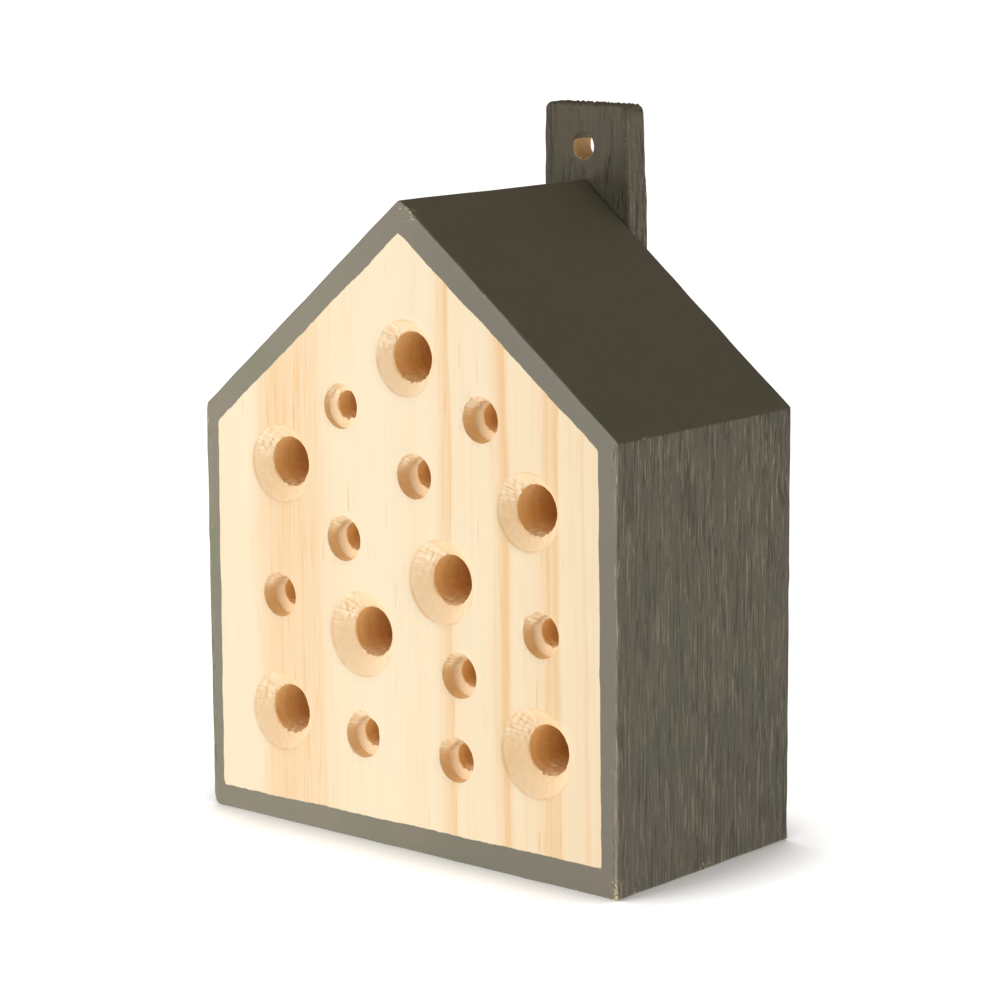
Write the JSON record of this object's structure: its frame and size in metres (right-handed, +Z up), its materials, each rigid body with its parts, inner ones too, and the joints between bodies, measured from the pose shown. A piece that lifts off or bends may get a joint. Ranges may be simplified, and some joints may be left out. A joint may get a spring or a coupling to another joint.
{
  "type": "insect hotel",
  "caption": "House-shaped pine block with drilled nesting holes for solitary bees and a slat behind the ridge to hang it by.",
  "frame": {"origin": "on the base plane, in the middle of the width and of the whole depth from the front face to the slat's back", "axes": "+Z up to the ridge, +Y from the drilled front to the slat at the back, +X to the right seen from the front"},
  "size_m": [0.12, 0.0668, 0.158],
  "materials": {
    "pine_block": "bare planed pine front inside a grey-green painted border, all other faces painted",
    "painted_slat": "thin grey-green paint over raised grain",
    "zinc_screw": "bright zinc plating"
  },
  "bodies": {
    "root": {"drilled_block": "pine_block", "hanging_slat": "painted_slat", "slat_screw_upper": "zinc_screw", "slat_screw_lower": "zinc_screw"}
  },
  "joints": []
}
